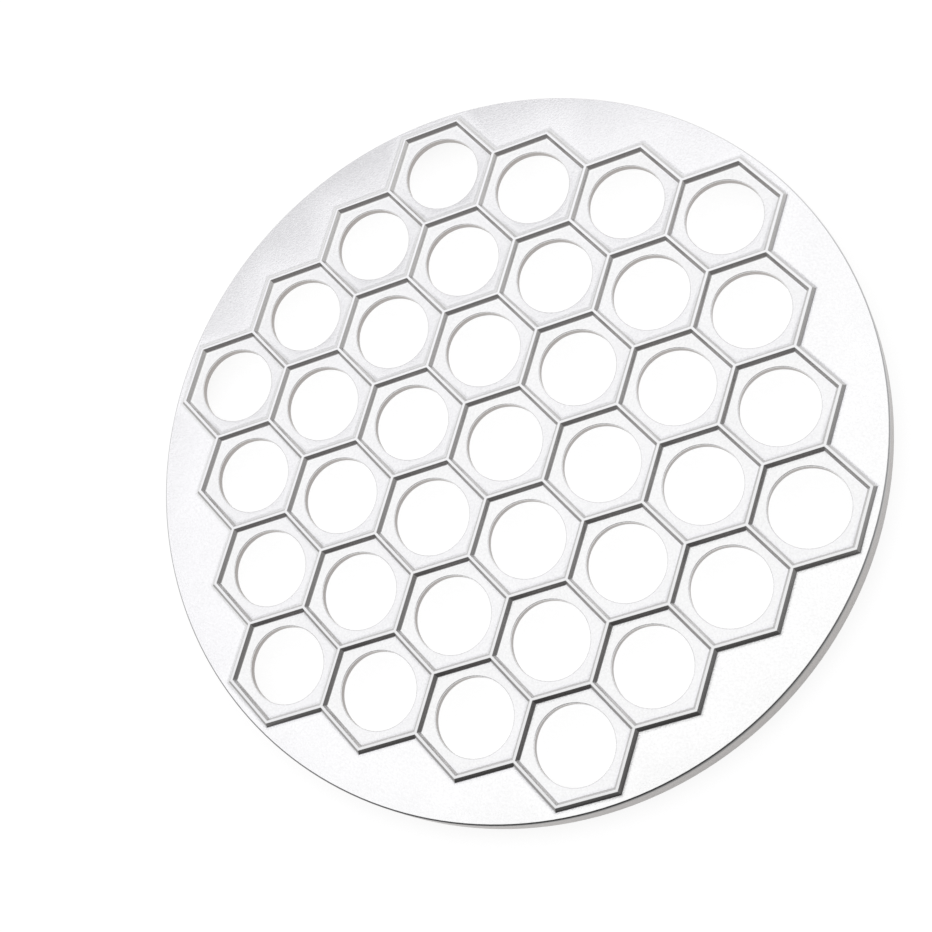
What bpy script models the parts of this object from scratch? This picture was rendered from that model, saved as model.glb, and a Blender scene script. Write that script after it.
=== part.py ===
"""A round die-cast dumpling mold, one casting of aluminium.

Hexagonal cells fill a plate, each with a round hole through which a dumpling drops.
Thin drafted ribs stand around every cell and press the dough together, and a skirt
turns down around the plate's edge. The mold rests on the foot of the skirt with its
ribs up. Metres, +Z up, with the origin in the middle of the foot.
"""

import math

import bmesh
import bpy
from mathutils import Matrix
from mathutils import Vector

# Driving sizes, in metres and degrees
CELLS_PER_SIDE = 4
HOLE_DIAMETER = 0.0257
HOLE_RIM_RADIUS = 0.0004
HOLE_DRAFT = 3.0
HOLE_LAND = 0.00095
CREST_WIDTH = 0.0008
RIB_HEIGHT = 0.0016
RIB_DRAFT = 33.0
BLEND_REACH = 0.00144
BLEND_SLOPE = 22.0
PLATE_THICKNESS = 0.0034
OVERALL_HEIGHT = 0.0110
RIM_LAND = 0.0002
RIM_RADIUS = 0.0005
SKIRT_WALL = 0.0025
SKIRT_DRAFT = 0.5
SKIRT_FILLET = 0.0015
FOOT_RADIUS = 0.0004

# How finely the round stretches are divided
HOLE_SEGMENTS = 24
RIM_SEGMENTS = 96
BLEND_STEPS = 2
HOLE_RIM_STEPS = 1
RIM_STEPS = 3
FOOT_STEPS = 1
FILLET_STEPS = 3

# Sizes that follow from the driving ones
BLEND_RADIUS = BLEND_REACH / math.sin(math.radians(BLEND_SLOPE))
BLEND_DROP = BLEND_RADIUS * (1 - math.cos(math.radians(BLEND_SLOPE)))
WALL_DROP = RIB_HEIGHT - BLEND_DROP
WALL_RUN = WALL_DROP * math.tan(math.radians(RIB_DRAFT))
RIB_REACH = CREST_WIDTH / 2 + WALL_RUN + BLEND_REACH
CELL_PITCH = HOLE_DIAMETER + 2 * (HOLE_RIM_RADIUS + HOLE_LAND + RIB_REACH)
CELL_RADIUS = CELL_PITCH / math.sqrt(3)
MITRE = 1 / math.cos(math.radians(30))
ROW_SPACING = CELL_PITCH * math.cos(math.radians(30))
COMB_RADIUS = math.hypot((CELLS_PER_SIDE - 0.5) * CELL_PITCH, CELL_RADIUS / 2)
DISC_RADIUS = COMB_RADIUS + MITRE * RIB_REACH + RIM_LAND + RIM_RADIUS
FLOOR_LEVEL = OVERALL_HEIGHT - RIB_HEIGHT
UNDERSIDE_LEVEL = FLOOR_LEVEL - PLATE_THICKNESS
MERGE_DISTANCE = 0.000001


def clear_scene():
    for item in list(bpy.data.objects):
        bpy.data.objects.remove(item, do_unlink=True)


def arc(centre, radius, start, end, steps):
    """Points of an arc between two angles in degrees, as pairs of distance and height."""
    points = []
    for index in range(steps + 1):
        angle = math.radians(start + (end - start) * index / steps)
        across = centre[0] + radius * math.cos(angle)
        height = centre[1] + radius * math.sin(angle)
        points.append((across, height))
    return points


def cell_centres():
    """The middle of each cell, row by row, with the rows along X."""
    centres = []
    reach = CELLS_PER_SIDE - 1
    for row in range(-reach, reach + 1):
        cells = 2 * CELLS_PER_SIDE - 1 - abs(row)
        for index in range(cells):
            across = (index - (cells - 1) / 2) * CELL_PITCH
            centres.append(Vector((across, -row * ROW_SPACING, OVERALL_HEIGHT)))
    return centres


def rib_steps():
    """Half of a rib's section as steps of run and drop, from its centre line to its toe."""
    steps = [(CREST_WIDTH / 2, 0.0), (WALL_RUN, WALL_DROP)]
    blend = arc((0, 0), BLEND_RADIUS, 270 - BLEND_SLOPE, 270, BLEND_STEPS)
    for here, following in zip(blend, blend[1:]):
        steps.append((following[0] - here[0], here[1] - following[1]))
    return steps


def hole_section():
    """Radius and height down a hole: rounded rim, drafted wall, rounded lower rim."""
    radius = HOLE_DIAMETER / 2
    top = FLOOR_LEVEL - HOLE_RIM_RADIUS
    bottom = UNDERSIDE_LEVEL + HOLE_RIM_RADIUS
    lower = radius + (top - bottom) * math.tan(math.radians(HOLE_DRAFT))
    section = arc((radius + HOLE_RIM_RADIUS, top), HOLE_RIM_RADIUS, 90, 180, HOLE_RIM_STEPS)
    section += arc((lower + HOLE_RIM_RADIUS, bottom), HOLE_RIM_RADIUS, 180, 270, HOLE_RIM_STEPS)
    return section


def skirt_section():
    """Radius and height of the rim and the skirt, from the flange down and round to the underside."""
    draft = math.tan(math.radians(SKIRT_DRAFT))
    outer_foot = DISC_RADIUS + FLOOR_LEVEL * draft
    inner_foot = outer_foot - SKIRT_WALL
    inner_top = inner_foot - UNDERSIDE_LEVEL * draft
    section = arc((DISC_RADIUS - RIM_RADIUS, FLOOR_LEVEL - RIM_RADIUS), RIM_RADIUS, 90, 0, RIM_STEPS)
    section += arc((outer_foot - FOOT_RADIUS, FOOT_RADIUS), FOOT_RADIUS, 0, -90, FOOT_STEPS)
    section += arc((inner_foot + FOOT_RADIUS, FOOT_RADIUS), FOOT_RADIUS, 270, 180, FOOT_STEPS)
    corner = (inner_top - SKIRT_FILLET, UNDERSIDE_LEVEL - SKIRT_FILLET)
    section += arc(corner, SKIRT_FILLET, 0, 90, FILLET_STEPS)
    return section


def sink_cell(bm, centre):
    """Press one hexagon down between its ribs and open the hole in its floor."""
    place = Matrix.Translation(centre)
    ring = bmesh.ops.create_circle(bm, cap_ends=True, radius=CELL_RADIUS, segments=6, matrix=place)
    floor = ring["verts"][0].link_faces[0]
    for run, drop in rib_steps():
        bmesh.ops.inset_individual(bm, faces=[floor], thickness=run, use_even_offset=True)
        bmesh.ops.translate(bm, verts=floor.verts, vec=(0, 0, -drop))
    border = list(floor.edges)
    bmesh.ops.delete(bm, geom=[floor], context="FACES_ONLY")
    section = hole_section()
    place = Matrix.Translation((centre.x, centre.y, section[0][1]))
    ring = bmesh.ops.create_circle(bm, radius=section[0][0], segments=HOLE_SEGMENTS, matrix=place)
    hole = list({edge for vert in ring["verts"] for edge in vert.link_edges})
    bmesh.ops.triangle_fill(bm, use_beauty=True, edges=border + hole)
    for here, following in zip(section, section[1:]):
        grown = bmesh.ops.extrude_edge_only(bm, edges=hole)["geom"]
        hole = [item for item in grown if isinstance(item, bmesh.types.BMEdge)]
        corners = [item for item in grown if isinstance(item, bmesh.types.BMVert)]
        widen = following[0] / here[0]
        middle = Matrix.Translation((-centre.x, -centre.y, 0))
        bmesh.ops.scale(bm, verts=corners, vec=(widen, widen, 1), space=middle)
        bmesh.ops.translate(bm, verts=corners, vec=(0, 0, following[1] - here[1]))


def open_edges(bm, level):
    """The open edges that lie at one height."""
    found = []
    for edge in bm.edges:
        heights = [abs(vert.co.z - level) for vert in edge.verts]
        if len(edge.link_faces) < 2 and max(heights) < MERGE_DISTANCE:
            found.append(edge)
    return found


def outward(corner, centres):
    """The direction away from the one or two cells that meet at a corner of the comb's border."""
    total = Vector((0, 0, 0))
    for centre in centres:
        away = Vector((corner.x - centre.x, corner.y - centre.y, 0))
        if away.length < (CELL_RADIUS + CELL_PITCH) / 2:
            total += away
    return total.normalized()


def slope_border(bm, centres):
    """The outer side of the ribs round the comb, from their crest to the flange."""
    border = open_edges(bm, OVERALL_HEIGHT)
    for run, drop in rib_steps():
        grown = bmesh.ops.extrude_edge_only(bm, edges=border)["geom"]
        border = [item for item in grown if isinstance(item, bmesh.types.BMEdge)]
        corners = [item for item in grown if isinstance(item, bmesh.types.BMVert)]
        for corner in corners:
            corner.co += outward(corner.co, centres) * run * MITRE
            corner.co.z -= drop
    return border


def turn_skirt(bm):
    """Turn the section of the rim and skirt about the middle."""
    corners = [bm.verts.new((across, 0, height)) for across, height in skirt_section()]
    edges = [bm.edges.new(pair) for pair in zip(corners, corners[1:])]
    bmesh.ops.spin(
        bm,
        geom=corners + edges,
        cent=(0, 0, 0),
        axis=(0, 0, 1),
        angle=2 * math.pi,
        steps=RIM_SEGMENTS,
        use_merge=True,
    )


def cast_aluminium():
    material = bpy.data.materials.new("cast_aluminium")
    material.use_nodes = True
    shader = material.node_tree.nodes["Principled BSDF"]
    shader.inputs["Base Color"].default_value = (0.86, 0.86, 0.87, 1.0)
    shader.inputs["Metallic"].default_value = 1.0
    shader.inputs["Roughness"].default_value = 0.45
    return material


def build_casting():
    bm = bmesh.new()
    centres = cell_centres()
    for centre in centres:
        sink_cell(bm, centre)
    bmesh.ops.remove_doubles(bm, verts=bm.verts, dist=MERGE_DISTANCE)
    border = slope_border(bm, centres)
    turn_skirt(bm)
    rim = [edge for edge in open_edges(bm, FLOOR_LEVEL) if edge not in border]
    bmesh.ops.triangle_fill(bm, use_beauty=True, edges=border + rim)
    bmesh.ops.triangle_fill(bm, use_beauty=True, edges=open_edges(bm, UNDERSIDE_LEVEL))
    bmesh.ops.recalc_face_normals(bm, faces=bm.faces)
    mesh = bpy.data.meshes.new("mold_casting")
    bm.to_mesh(mesh)
    bm.free()
    mesh.shade_smooth()
    mesh.set_sharp_from_angle(angle=math.radians(30))
    mesh.materials.append(cast_aluminium())
    casting = bpy.data.objects.new("mold_casting", mesh)
    bpy.context.collection.objects.link(casting)


clear_scene()
build_casting()
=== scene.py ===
# Looks of a round cast aluminium dumpling mold: the casting in fine form, its finishes, the floor,
# the light and the camera.
import math

import bmesh
import bpy
from mathutils import Matrix
from mathutils import Vector


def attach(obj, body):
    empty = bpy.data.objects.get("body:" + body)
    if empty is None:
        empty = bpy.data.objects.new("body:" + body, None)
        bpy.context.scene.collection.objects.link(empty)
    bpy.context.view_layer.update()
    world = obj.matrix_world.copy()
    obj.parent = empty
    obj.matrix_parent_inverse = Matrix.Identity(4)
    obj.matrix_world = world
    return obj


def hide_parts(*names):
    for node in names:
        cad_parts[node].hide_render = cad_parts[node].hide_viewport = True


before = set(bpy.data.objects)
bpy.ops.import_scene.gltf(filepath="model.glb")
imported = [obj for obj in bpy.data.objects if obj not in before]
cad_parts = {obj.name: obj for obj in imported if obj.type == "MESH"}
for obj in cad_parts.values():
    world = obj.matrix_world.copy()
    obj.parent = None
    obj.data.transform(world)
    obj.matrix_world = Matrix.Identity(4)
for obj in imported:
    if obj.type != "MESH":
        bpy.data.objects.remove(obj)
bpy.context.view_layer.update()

# Sizes of the casting, in metres and degrees, as in the model's source
CELLS_PER_SIDE = 4
HOLE_DIAMETER = 0.0257
HOLE_RIM_RADIUS = 0.0004
HOLE_DRAFT = 3.0
HOLE_LAND = 0.00095
CREST_WIDTH = 0.0008
CREST_ROUND = 0.00012
RIB_HEIGHT = 0.0016
RIB_DRAFT = 33.0
BLEND_REACH = 0.00144
BLEND_SLOPE = 22.0
PLATE_THICKNESS = 0.0034
OVERALL_HEIGHT = 0.0110
RIM_LAND = 0.0002
RIM_RADIUS = 0.0005
SKIRT_WALL = 0.0025
SKIRT_DRAFT = 0.5
SKIRT_FILLET = 0.0015
FOOT_RADIUS = 0.0004

# How finely the round stretches are divided, and the angle in degrees from which an edge is sharp
HOLE_SEGMENTS = 72
RIM_SEGMENTS = 192
CREST_STEPS = 3
BLEND_STEPS = 6
HOLE_RIM_STEPS = 4
RIM_STEPS = 5
FOOT_STEPS = 3
FILLET_STEPS = 6
SHARP_ANGLE = 28

# Sizes that follow from those
BLEND_RADIUS = BLEND_REACH / math.sin(math.radians(BLEND_SLOPE))
BLEND_DROP = BLEND_RADIUS * (1 - math.cos(math.radians(BLEND_SLOPE)))
WALL_DROP = RIB_HEIGHT - BLEND_DROP
WALL_RUN = WALL_DROP * math.tan(math.radians(RIB_DRAFT))
RIB_REACH = CREST_WIDTH / 2 + WALL_RUN + BLEND_REACH
CELL_PITCH = HOLE_DIAMETER + 2 * (HOLE_RIM_RADIUS + HOLE_LAND + RIB_REACH)
CELL_RADIUS = CELL_PITCH / math.sqrt(3)
MITRE = 1 / math.cos(math.radians(30))
ROW_SPACING = CELL_PITCH * math.cos(math.radians(30))
COMB_RADIUS = math.hypot((CELLS_PER_SIDE - 0.5) * CELL_PITCH, CELL_RADIUS / 2)
DISC_RADIUS = COMB_RADIUS + MITRE * RIB_REACH + RIM_LAND + RIM_RADIUS
FLOOR_LEVEL = OVERALL_HEIGHT - RIB_HEIGHT
UNDERSIDE_LEVEL = FLOOR_LEVEL - PLATE_THICKNESS
MERGE_DISTANCE = 0.000001

# Slots of the casting's finishes
SKIN, CELL, CREST, WALL, LEFT_WALL, RIGHT_WALL, FRONT_WALL, EDGE, SIDE = range(9)

# A mark for the start of the blend at a rib's foot, which gets one of those slots in the end
FOOT = SIDE + 1

# The sides of ribs with painted shade of their own, darker copies of the wall finish on the sides that face
# the dim side of the studio: its slot, the azimuth that they face in degrees, and what it covers there. A
# side faces that way if its direction matches the azimuth's by this much.
PAINTED_SHADE_FACINGS = (
    (LEFT_WALL, 240, (WALL,)),
    (RIGHT_WALL, 0, (WALL, FOOT)),
    (FRONT_WALL, 300, (WALL, FOOT)),
)
FACING_MATCH = 0.9

# How far the rim's finish, with its painted dark reflection, reaches down the outside of the skirt
EDGE_DEPTH = 0.0016

# The camera, fitted to the cells of the photograph, in cell pitches from the middle of the crests
CAMERA_PLACE = Vector((6.387, -3.507, 15.746))
CAMERA_RIGHT = Vector((0.9018, 0.2851, -0.3246))
CAMERA_UP = Vector((-0.1986, 0.9408, 0.2747))
LENS = 70.1
VIEW_DEPTH = 50

# The studio: the floor's own tone and glow, the sky's tones by elevation in degrees, and the softbox.
# The near sky covers the dark side of the studio, about one azimuth, and the far sky the rest.
FLOOR_RADIUS = 16.0
FLOOR_SEGMENTS = 64
FLOOR_SHADE = 0.30
FLOOR_GLOW = 0.82
FAR_SKY = (
    (0, (0.95, 0.95, 0.95)),
    (34, (0.88, 0.88, 0.88)),
    (52, (0.51, 0.502, 0.54)),
    (72, (0.56, 0.56, 0.56)),
)
NEAR_SKY = (
    (0, (0.90, 0.90, 0.90)),
    (5, (0.38, 0.37, 0.37)),
    (66, (0.32, 0.32, 0.32)),
    (80, (0.56, 0.56, 0.56)),
)
DARK_AZIMUTH = -55
DARK_SPREAD = (0.26, 0.62)
SOFTBOX_WIDTH = 1.8
SOFTBOX_LENGTH = 1.32
SOFTBOX_TURN = 45
SOFTBOX_LEVEL = 0.56
SOFTBOX_PLACE = Vector((-0.339, 0.198, 1.16))

# The grain of the finishes: the scale of the slow mottle, the scale of the grain, and the relief's strength
SKIN_GRAIN = (60, 1300, 0.5)
CREST_GRAIN = (90, 3000, 0.15)
WALL_GRAIN = (120, 1800, 0.3)
SIDE_GRAIN = (90, 1800, 0.4)

# The roughness of the finishes, where the mottle is darkest and where it is lightest
SKIN_ROUGH = (0.20, 0.25)
CREST_ROUGH = (0.20, 0.26)
WALL_ROUGH = (0.18, 0.24)
EDGE_ROUGH = (0.20, 0.28)
SIDE_ROUGH = (0.26, 0.36)

# What all finishes share: the detail of each noise, how much finer the relief is than the grain, how deep
# it is, the share of grain against mottle in the tone, and the values that the tones span
MOTTLE_DETAIL = 4.0
GRAIN_DETAIL = 3.0
RELIEF_DETAIL = 1.0
NOISE_ROUGHNESS = 0.6
RELIEF_FINENESS = 2
RELIEF_DEPTH = 0.0001
GRAIN_SHARE = 0.7
TONE_SPAN = (0.3, 0.7)

# The numbers of a Mix node's sockets, which share their names between numbers and colours
MIX_SHARE = 0
MIX_NUMBERS = (2, 3)
MIX_NUMBER_RESULT = 0
MIX_COLOURS = (6, 7)
MIX_COLOUR_RESULT = 2

# How painted shade darkens finishes across the plate: the direction, and the distances that it starts and
# ends at
PAINTED_SHADE_DIRECTION = Vector((0.5, -0.866, 0))
PAINTED_SHADE_START = -0.11
PAINTED_SHADE_END = 0.125


def arc(centre, radius, start, end, steps):
    """Points of an arc between two angles in degrees, as pairs of distance and height."""
    points = []
    for index in range(steps + 1):
        angle = math.radians(start + (end - start) * index / steps)
        across = centre[0] + radius * math.cos(angle)
        height = centre[1] + radius * math.sin(angle)
        points.append((across, height))
    return points


def as_steps(points):
    """The steps of run and drop between points of a section."""
    return [(there[0] - here[0], here[1] - there[1]) for here, there in zip(points, points[1:])]


def rib_steps():
    """Half of a rib's section from its centre line to its toe: run, drop and finish of each step."""
    turn = 90 - RIB_DRAFT
    tangent = CREST_ROUND * math.tan(math.radians(turn / 2))
    corner = arc((CREST_WIDTH / 2 - tangent, -CREST_ROUND), CREST_ROUND, 90, 90 - turn, CREST_STEPS)
    wall_start = corner[-1]
    wall_end = (CREST_WIDTH / 2 + WALL_RUN, -WALL_DROP)
    blend = arc((RIB_REACH, BLEND_RADIUS - RIB_HEIGHT), BLEND_RADIUS, 270 - BLEND_SLOPE, 270, BLEND_STEPS)
    steps = [(run, drop, CREST) for run, drop in as_steps([(0, 0)] + corner)]
    steps += [(run, drop, WALL) for run, drop in as_steps([wall_start, wall_end])]
    steps += [(run, drop, FOOT) for run, drop in as_steps(blend[:2])]
    steps += [(run, drop, SKIN) for run, drop in as_steps(blend[1:])]
    return steps


def hole_section():
    """Radius and height down a hole: rounded rim, drafted wall, rounded lower rim."""
    radius = HOLE_DIAMETER / 2
    top = FLOOR_LEVEL - HOLE_RIM_RADIUS
    bottom = UNDERSIDE_LEVEL + HOLE_RIM_RADIUS
    lower = radius + (top - bottom) * math.tan(math.radians(HOLE_DRAFT))
    section = arc((radius + HOLE_RIM_RADIUS, top), HOLE_RIM_RADIUS, 90, 180, HOLE_RIM_STEPS)
    section += arc((lower + HOLE_RIM_RADIUS, bottom), HOLE_RIM_RADIUS, 180, 270, HOLE_RIM_STEPS)
    return section


def skirt_section():
    """Radius and height of the rim and the skirt, from the flange down and round to the underside."""
    draft = math.tan(math.radians(SKIRT_DRAFT))
    outer_foot = DISC_RADIUS + FLOOR_LEVEL * draft
    inner_foot = outer_foot - SKIRT_WALL
    inner_top = inner_foot - UNDERSIDE_LEVEL * draft
    section = arc((DISC_RADIUS - RIM_RADIUS, FLOOR_LEVEL - RIM_RADIUS), RIM_RADIUS, 90, 0, RIM_STEPS)
    # Where the rim's finish, with its painted dark reflection, ends on the skirt
    section.append((DISC_RADIUS + EDGE_DEPTH * draft, FLOOR_LEVEL - EDGE_DEPTH))
    section += arc((outer_foot - FOOT_RADIUS, FOOT_RADIUS), FOOT_RADIUS, 0, -90, FOOT_STEPS)
    section += arc((inner_foot + FOOT_RADIUS, FOOT_RADIUS), FOOT_RADIUS, 270, 180, FOOT_STEPS)
    corner = (inner_top - SKIRT_FILLET, UNDERSIDE_LEVEL - SKIRT_FILLET)
    section += arc(corner, SKIRT_FILLET, 0, 90, FILLET_STEPS)
    return section


def cell_centres():
    """The middle of each cell, row by row, with the rows along X."""
    centres = []
    reach = CELLS_PER_SIDE - 1
    for row in range(-reach, reach + 1):
        cells = 2 * CELLS_PER_SIDE - 1 - abs(row)
        for index in range(cells):
            across = (index - (cells - 1) / 2) * CELL_PITCH
            centres.append(Vector((across, -row * ROW_SPACING, 0)))
    return centres


def grown_parts(grown, kind):
    """What an extrusion made, of one kind: its corners, edges or faces."""
    return [item for item in grown["geom"] if isinstance(item, kind)]


def cell_mesh():
    """One cell at the origin, from the middle of its ribs' crests down to its hole's lower rim."""
    bm = bmesh.new()
    place = Matrix.Translation((0, 0, OVERALL_HEIGHT))
    ring = bmesh.ops.create_circle(bm, cap_ends=True, radius=CELL_RADIUS, segments=6, matrix=place)
    floor = ring["verts"][0].link_faces[0]
    for run, drop, finish in rib_steps():
        sunk = bmesh.ops.inset_individual(bm, faces=[floor], thickness=run, use_even_offset=True)
        for side in sunk["faces"]:
            side.material_index = finish
        bmesh.ops.translate(bm, verts=floor.verts, vec=(0, 0, -drop))
    border = list(floor.edges)
    bmesh.ops.delete(bm, geom=[floor], context="FACES_ONLY")
    section = hole_section()
    place = Matrix.Translation((0, 0, section[0][1]))
    ring = bmesh.ops.create_circle(bm, radius=section[0][0], segments=HOLE_SEGMENTS, matrix=place)
    hole = list({edge for vert in ring["verts"] for edge in vert.link_edges})
    bmesh.ops.triangle_fill(bm, use_beauty=True, edges=border + hole)
    for here, there in zip(section, section[1:]):
        grown = bmesh.ops.extrude_edge_only(bm, edges=hole)
        hole = grown_parts(grown, bmesh.types.BMEdge)
        corners = grown_parts(grown, bmesh.types.BMVert)
        finish = SIDE if abs(there[1] - here[1]) > HOLE_RIM_RADIUS else SKIN
        for side in grown_parts(grown, bmesh.types.BMFace):
            side.material_index = finish
        widen = there[0] / here[0]
        bmesh.ops.scale(bm, verts=corners, vec=(widen, widen, 1))
        bmesh.ops.translate(bm, verts=corners, vec=(0, 0, there[1] - here[1]))
    # The cell's floor, hole rim and blends take the darker cell finish, a painted shade of the recess
    for face in bm.faces:
        if face.material_index == SKIN:
            face.material_index = CELL
    mesh = bpy.data.meshes.new("cell")
    bm.to_mesh(mesh)
    bm.free()
    return mesh


def open_edges(bm, level):
    """The open edges that lie at one height."""
    found = []
    for edge in bm.edges:
        heights = [abs(vert.co.z - level) for vert in edge.verts]
        if len(edge.link_faces) < 2 and max(heights) < MERGE_DISTANCE:
            found.append(edge)
    return found


def outward(corner, centres):
    """The direction away from the one or two cells that meet at a corner of the comb's border."""
    total = Vector((0, 0, 0))
    for centre in centres:
        away = Vector((corner.x - centre.x, corner.y - centre.y, 0))
        if away.length < (CELL_RADIUS + CELL_PITCH) / 2:
            total += away
    return total.normalized()


def slope_border(bm, centres):
    """The outer side of the ribs round the comb, from their crest to the flange."""
    border = open_edges(bm, OVERALL_HEIGHT)
    for run, drop, finish in rib_steps():
        grown = bmesh.ops.extrude_edge_only(bm, edges=border)
        border = grown_parts(grown, bmesh.types.BMEdge)
        for side in grown_parts(grown, bmesh.types.BMFace):
            side.material_index = finish
        for corner in grown_parts(grown, bmesh.types.BMVert):
            corner.co += outward(corner.co, centres) * run * MITRE
            corner.co.z -= drop
    return border


def turn_skirt(bm):
    """Turn the section of the rim and skirt about the middle."""
    before = set(bm.faces)
    corners = [bm.verts.new((across, 0, height)) for across, height in skirt_section()]
    edges = [bm.edges.new(pair) for pair in zip(corners, corners[1:])]
    bmesh.ops.spin(
        bm,
        geom=corners + edges,
        cent=(0, 0, 0),
        axis=(0, 0, 1),
        angle=2 * math.pi,
        steps=RIM_SEGMENTS,
        use_merge=True,
    )
    for face in set(bm.faces) - before:
        height = face.calc_center_median().z
        # The rim's finish with its painted dark reflection down to EDGE_DEPTH, the darker side finish below
        face.material_index = EDGE if height > FLOOR_LEVEL - EDGE_DEPTH else SIDE


def paint_wall_shade(bm):
    """Paint shade on the ribs' sides that face the dim side of the studio, through darker copies of their
    finish.
    """
    for face in bm.faces:
        level = Vector((face.normal.x, face.normal.y, 0))
        for slot, azimuth, covered in PAINTED_SHADE_FACINGS:
            angle = math.radians(azimuth)
            towards = Vector((math.cos(angle), math.sin(angle), 0))
            if face.material_index in covered and level.normalized().dot(towards) > FACING_MATCH:
                face.material_index = slot
        if face.material_index == FOOT:
            face.material_index = CELL


def build_casting(materials):
    """The whole casting, which stands in for the plain one."""
    bm = bmesh.new()
    cell = cell_mesh()
    centres = cell_centres()
    for centre in centres:
        cell.transform(Matrix.Translation(centre))
        bm.from_mesh(cell)
        cell.transform(Matrix.Translation(-centre))
    bmesh.ops.remove_doubles(bm, verts=bm.verts, dist=MERGE_DISTANCE)
    border = slope_border(bm, centres)
    turn_skirt(bm)
    rim = [edge for edge in open_edges(bm, FLOOR_LEVEL) if edge not in border]
    bmesh.ops.triangle_fill(bm, use_beauty=True, edges=border + rim)
    bmesh.ops.triangle_fill(bm, use_beauty=True, edges=open_edges(bm, UNDERSIDE_LEVEL))
    bmesh.ops.recalc_face_normals(bm, faces=bm.faces)
    paint_wall_shade(bm)
    mesh = bpy.data.meshes.new("fine_casting")
    bm.to_mesh(mesh)
    bm.free()
    mesh.shade_smooth()
    mesh.set_sharp_from_angle(angle=math.radians(SHARP_ANGLE))
    for material in materials:
        mesh.materials.append(material)
    casting = bpy.data.objects.new("fine_casting", mesh)
    bpy.context.collection.objects.link(casting)
    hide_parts("mold_casting")
    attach(casting, "root")


def new_material(name):
    """A material with its nodes and their links."""
    material = bpy.data.materials.new(name)
    material.use_nodes = True
    return material, material.node_tree.nodes, material.node_tree.links


def noise(nodes, links, place, scale, detail):
    """Noise on the casting's own coordinates, at a scale that a socket gives."""
    texture = nodes.new("ShaderNodeTexNoise")
    texture.inputs["Detail"].default_value = detail
    texture.inputs["Roughness"].default_value = NOISE_ROUGHNESS
    links.new(place.outputs["Object"], texture.inputs["Vector"])
    links.new(scale, texture.inputs["Scale"])
    return texture.outputs["Fac"]


def cast_grain_group():
    """Tone and fine relief of a blasted casting, in object space: slow mottle, grain and a finer relief."""
    group = bpy.data.node_groups.new("cast_grain", "ShaderNodeTree")
    group.interface.new_socket("Mottle Scale", in_out="INPUT", socket_type="NodeSocketFloat")
    group.interface.new_socket("Grain Scale", in_out="INPUT", socket_type="NodeSocketFloat")
    group.interface.new_socket("Relief Scale", in_out="INPUT", socket_type="NodeSocketFloat")
    group.interface.new_socket("Mottle", in_out="OUTPUT", socket_type="NodeSocketFloat")
    group.interface.new_socket("Height", in_out="OUTPUT", socket_type="NodeSocketFloat")
    nodes, links = group.nodes, group.links
    given = nodes.new("NodeGroupInput")
    result = nodes.new("NodeGroupOutput")
    place = nodes.new("ShaderNodeTexCoord")
    mottle = noise(nodes, links, place, given.outputs["Mottle Scale"], MOTTLE_DETAIL)
    grain = noise(nodes, links, place, given.outputs["Grain Scale"], GRAIN_DETAIL)
    relief = noise(nodes, links, place, given.outputs["Relief Scale"], RELIEF_DETAIL)
    mix = nodes.new("ShaderNodeMix")
    mix.inputs[MIX_SHARE].default_value = GRAIN_SHARE
    links.new(mottle, mix.inputs[MIX_NUMBERS[0]])
    links.new(grain, mix.inputs[MIX_NUMBERS[1]])
    links.new(mix.outputs[MIX_NUMBER_RESULT], result.inputs["Mottle"])
    links.new(relief, result.inputs["Height"])
    return group


def painted_shade_across(nodes, links, colour, least):
    """Painted shade: the colour darkened across the plate, down to a share of it at the far end."""
    place = nodes.new("ShaderNodeTexCoord")
    along = nodes.new("ShaderNodeVectorMath")
    along.operation = "DOT_PRODUCT"
    along.inputs[1].default_value = PAINTED_SHADE_DIRECTION
    share = nodes.new("ShaderNodeMapRange")
    share.inputs["From Min"].default_value = PAINTED_SHADE_START
    share.inputs["From Max"].default_value = PAINTED_SHADE_END
    share.inputs["To Min"].default_value = 1
    share.inputs["To Max"].default_value = least
    deepen = nodes.new("ShaderNodeVectorMath")
    deepen.operation = "SCALE"
    links.new(place.outputs["Object"], along.inputs[0])
    links.new(along.outputs["Value"], share.inputs["Value"])
    links.new(colour, deepen.inputs[0])
    links.new(share.outputs["Result"], deepen.inputs["Scale"])
    return deepen.outputs["Vector"]


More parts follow.
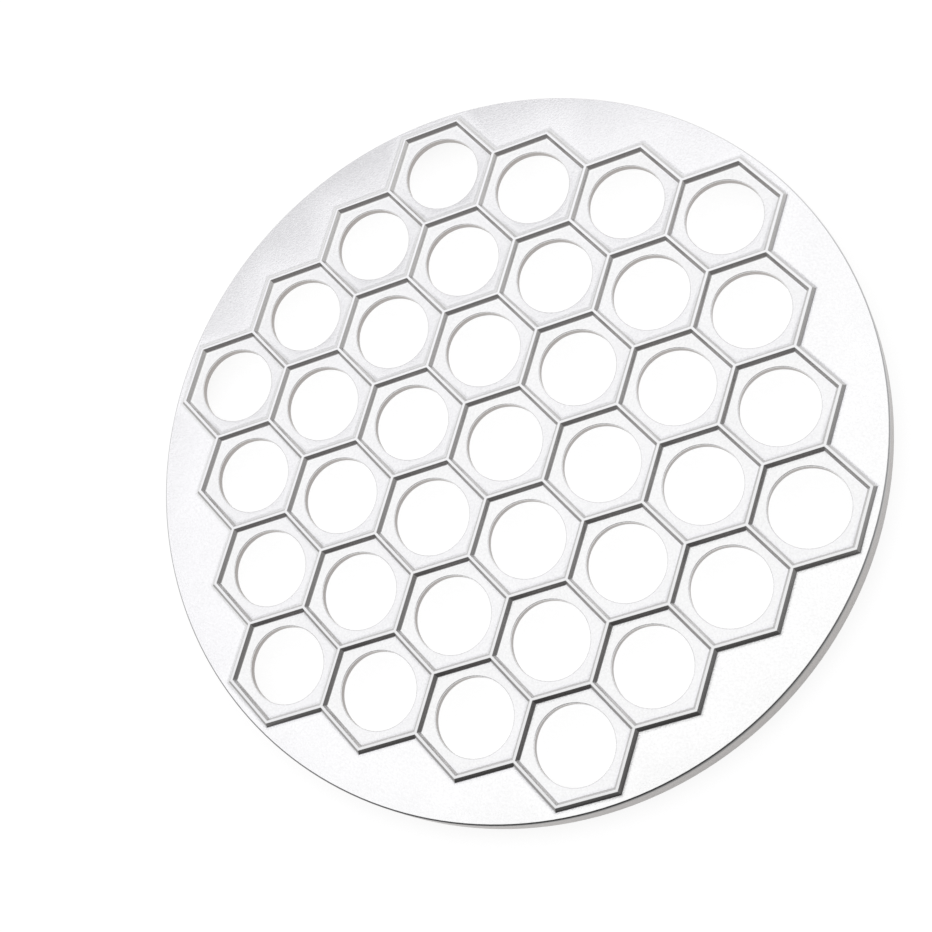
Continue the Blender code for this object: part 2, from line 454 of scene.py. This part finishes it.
def cast_finish(name, group, dark, light, rough, texture, least=1):
    """A bare aluminium finish whose colour and roughness drift with the mottle and whose skin is grained,
    darkened across the plate by painted shade where least is below one.
    """
    mottle_scale, grain_scale, relief_strength = texture
    material, nodes, links = new_material(name)
    shader = nodes["Principled BSDF"]
    shader.inputs["Metallic"].default_value = 1.0
    grain = nodes.new("ShaderNodeGroup")
    grain.node_tree = group
    grain.inputs["Mottle Scale"].default_value = mottle_scale
    grain.inputs["Grain Scale"].default_value = grain_scale
    grain.inputs["Relief Scale"].default_value = RELIEF_FINENESS * grain_scale
    tone = nodes.new("ShaderNodeValToRGB")
    tone.color_ramp.elements[0].position = TONE_SPAN[0]
    tone.color_ramp.elements[1].position = TONE_SPAN[1]
    tone.color_ramp.elements[0].color = (*dark, 1)
    tone.color_ramp.elements[1].color = (*light, 1)
    span = nodes.new("ShaderNodeMapRange")
    span.inputs["From Min"].default_value = TONE_SPAN[0]
    span.inputs["From Max"].default_value = TONE_SPAN[1]
    span.inputs["To Min"].default_value = rough[0]
    span.inputs["To Max"].default_value = rough[1]
    relief = nodes.new("ShaderNodeBump")
    relief.inputs["Strength"].default_value = relief_strength
    relief.inputs["Distance"].default_value = RELIEF_DEPTH
    links.new(grain.outputs["Mottle"], tone.inputs["Fac"])
    links.new(grain.outputs["Mottle"], span.inputs["Value"])
    links.new(grain.outputs["Height"], relief.inputs["Height"])
    colour = tone.outputs["Color"]
    # Painted shade across the plate, where least is below one
    if least < 1:
        colour = painted_shade_across(nodes, links, colour, least)
    links.new(colour, shader.inputs["Base Color"])
    links.new(span.outputs["Result"], shader.inputs["Roughness"])
    links.new(relief.outputs["Normal"], shader.inputs["Normal"])
    return material


def blasted_skin(group):
    """The flange and the underside."""
    dark = (0.845, 0.845, 0.845)
    light = (0.955, 0.955, 0.955)
    return cast_finish("blasted_skin", group, dark, light, SKIN_ROUGH, SKIN_GRAIN)


def cell_floor(group):
    """The floors of the cells, a shade darker than the flange: painted shade in the recesses between the
    ribs.
    """
    dark = (0.80, 0.80, 0.80)
    light = (0.902, 0.902, 0.902)
    return cast_finish("cell_floor", group, dark, light, SKIN_ROUGH, SKIN_GRAIN)


def ground_crest(group):
    """The crests of the ribs, with painted shade across the plate."""
    dark = (0.86, 0.86, 0.865)
    light = (0.92, 0.92, 0.92)
    return cast_finish("ground_crest", group, dark, light, CREST_ROUGH, CREST_GRAIN, least=0.84)


def drafted_wall(group):
    """The sides of the ribs that face the pale side of the studio: the lit copy of the wall finish, with
    painted shade across the plate.
    """
    dark = (0.74, 0.73, 0.73)
    light = (0.82, 0.81, 0.81)
    return cast_finish("drafted_wall", group, dark, light, WALL_ROUGH, WALL_GRAIN, least=0.9)


def left_wall_painted_shade(group):
    """The sides of the ribs that face the front left: a darker copy of the wall finish, which is painted
    shade, darker still across the plate.
    """
    dark = (0.45, 0.44, 0.435)
    light = (0.51, 0.50, 0.495)
    return cast_finish("left_wall_painted_shade", group, dark, light, WALL_ROUGH, WALL_GRAIN, least=0.72)


def right_wall_painted_shade(group):
    """The sides of the ribs that face right: a darker copy of the wall finish, which is painted shade, much
    darker across the plate.
    """
    dark = (0.60, 0.59, 0.585)
    light = (0.68, 0.67, 0.665)
    return cast_finish("right_wall_painted_shade", group, dark, light, WALL_ROUGH, WALL_GRAIN, least=0.2)


def front_wall_painted_shade(group):
    """The sides of the ribs that face the front right: a darker copy of the wall finish, which is painted
    shade, much darker across the plate.
    """
    dark = (0.44, 0.43, 0.425)
    light = (0.50, 0.49, 0.485)
    return cast_finish("front_wall_painted_shade", group, dark, light, WALL_ROUGH, WALL_GRAIN, least=0.14)


def rim_with_painted_reflection(group):
    """The rim and the top of the skirt's outside: pale, with a painted dark reflection that darkens it to a
    tenth across the plate.
    """
    dark = (0.90, 0.90, 0.90)
    light = (0.96, 0.96, 0.96)
    return cast_finish("rim_with_painted_reflection", group, dark, light, EDGE_ROUGH, WALL_GRAIN, least=0.10)


def darkened_side(group):
    """The rest of the skirt and the walls of the holes, darker than the skin as a painted dark reflection,
    with painted shade across the plate too.
    """
    dark = (0.35, 0.327, 0.315)
    light = (0.465, 0.436, 0.419)
    return cast_finish("darkened_side", group, dark, light, SIDE_ROUGH, SIDE_GRAIN, least=0.86)


def casting_materials():
    """Finishes in the order of the slots."""
    group = cast_grain_group()
    finishes = (
        blasted_skin,
        cell_floor,
        ground_crest,
        drafted_wall,
        left_wall_painted_shade,
        right_wall_painted_shade,
        front_wall_painted_shade,
        rim_with_painted_reflection,
        darkened_side,
    )
    return [finish(group) for finish in finishes]


def pale_floor():
    """A matt floor that looks white to the eye and in reflections, and clear from below."""
    material, nodes, links = new_material("pale_floor")
    nodes.remove(nodes["Principled BSDF"])
    matt = nodes.new("ShaderNodeBsdfDiffuse")
    matt.inputs["Color"].default_value = (FLOOR_SHADE, FLOOR_SHADE, FLOOR_SHADE, 1)
    glow = nodes.new("ShaderNodeEmission")
    path = nodes.new("ShaderNodeLightPath")
    seen = nodes.new("ShaderNodeMath")
    seen.operation = "MAXIMUM"
    also = nodes.new("ShaderNodeMath")
    also.operation = "MAXIMUM"
    level = nodes.new("ShaderNodeMath")
    level.operation = "MULTIPLY"
    level.inputs[1].default_value = FLOOR_GLOW
    both = nodes.new("ShaderNodeAddShader")
    clear = nodes.new("ShaderNodeBsdfTransparent")
    sides = nodes.new("ShaderNodeMixShader")
    geometry = nodes.new("ShaderNodeNewGeometry")
    links.new(path.outputs["Is Camera Ray"], seen.inputs[0])
    links.new(path.outputs["Is Glossy Ray"], seen.inputs[1])
    links.new(seen.outputs[0], also.inputs[0])
    links.new(path.outputs["Is Transmission Ray"], also.inputs[1])
    links.new(also.outputs[0], level.inputs[0])
    links.new(level.outputs[0], glow.inputs["Strength"])
    links.new(matt.outputs[0], both.inputs[0])
    links.new(glow.outputs[0], both.inputs[1])
    links.new(geometry.outputs["Backfacing"], sides.inputs[0])
    links.new(both.outputs[0], sides.inputs[1])
    links.new(clear.outputs[0], sides.inputs[2])
    links.new(sides.outputs[0], nodes["Material Output"].inputs["Surface"])
    return material


def build_floor():
    """A wide plain disc that the casting stands on."""
    bm = bmesh.new()
    bmesh.ops.create_circle(bm, cap_ends=True, radius=FLOOR_RADIUS, segments=FLOOR_SEGMENTS)
    mesh = bpy.data.meshes.new("studio_floor")
    bm.to_mesh(mesh)
    bm.free()
    floor = bpy.data.objects.new("studio_floor", mesh)
    bpy.context.collection.objects.link(floor)
    mesh.materials.append(pale_floor())


def height_ramp(nodes, links, height, sky):
    """A colour by the height of a direction, from pairs of elevation in degrees and tone."""
    ramp = nodes.new("ShaderNodeValToRGB")
    stops = ramp.color_ramp.elements
    while len(stops) < len(sky):
        stops.new(0.5)
    for stop, (elevation, tone) in zip(stops, sky):
        stop.position = math.sin(math.radians(elevation))
        stop.color = (*tone, 1)
    links.new(height, ramp.inputs["Fac"])
    return ramp.outputs["Color"]


def build_world():
    """A grey studio, pale low down and dimmer overhead, with a dark side at the front right."""
    world = bpy.data.worlds.new("studio")
    world.use_nodes = True
    nodes, links = world.node_tree.nodes, world.node_tree.links
    place = nodes.new("ShaderNodeTexCoord")
    split = nodes.new("ShaderNodeSeparateXYZ")
    links.new(place.outputs["Generated"], split.inputs[0])
    far = height_ramp(nodes, links, split.outputs["Z"], FAR_SKY)
    near = height_ramp(nodes, links, split.outputs["Z"], NEAR_SKY)
    towards = nodes.new("ShaderNodeVectorMath")
    towards.operation = "DOT_PRODUCT"
    angle = math.radians(DARK_AZIMUTH)
    towards.inputs[1].default_value = (math.cos(angle), math.sin(angle), 0)
    links.new(place.outputs["Generated"], towards.inputs[0])
    share = nodes.new("ShaderNodeMapRange")
    share.interpolation_type = "SMOOTHSTEP"
    share.inputs["From Min"].default_value = DARK_SPREAD[0]
    share.inputs["From Max"].default_value = DARK_SPREAD[1]
    links.new(towards.outputs["Value"], share.inputs["Value"])
    mix = nodes.new("ShaderNodeMix")
    mix.data_type = "RGBA"
    links.new(share.outputs["Result"], mix.inputs[MIX_SHARE])
    links.new(far, mix.inputs[MIX_COLOURS[0]])
    links.new(near, mix.inputs[MIX_COLOURS[1]])
    links.new(mix.outputs[MIX_COLOUR_RESULT], nodes["Background"].inputs["Color"])
    bpy.context.scene.world = world


def build_softbox():
    """One wide soft lamp overhead."""
    light = bpy.data.lights.new("overhead_softbox", "AREA")
    light.shape = "RECTANGLE"
    light.size = SOFTBOX_WIDTH
    light.size_y = SOFTBOX_LENGTH
    light.energy = SOFTBOX_LEVEL * math.pi * SOFTBOX_WIDTH * SOFTBOX_LENGTH
    box = bpy.data.objects.new("overhead_softbox", light)
    bpy.context.collection.objects.link(box)
    box.location = SOFTBOX_PLACE
    box.rotation_euler = (0, 0, math.radians(SOFTBOX_TURN))


def build_camera():
    """The camera at the photograph's viewing angle."""
    camera = bpy.data.objects.new("camera", bpy.data.cameras.new("camera"))
    bpy.context.collection.objects.link(camera)
    camera.data.lens = LENS
    back = CAMERA_RIGHT.cross(CAMERA_UP)
    turn = Matrix((CAMERA_RIGHT, CAMERA_UP, back)).transposed().to_4x4()
    place = CAMERA_PLACE * CELL_PITCH + Vector((0, 0, OVERALL_HEIGHT))
    camera.matrix_world = Matrix.Translation(place) @ turn
    camera.data.clip_end = VIEW_DEPTH
    bpy.context.scene.camera = camera


build_camera()
build_floor()
build_world()
build_softbox()
build_casting(casting_materials())
bpy.context.scene.view_settings.view_transform = "Standard"
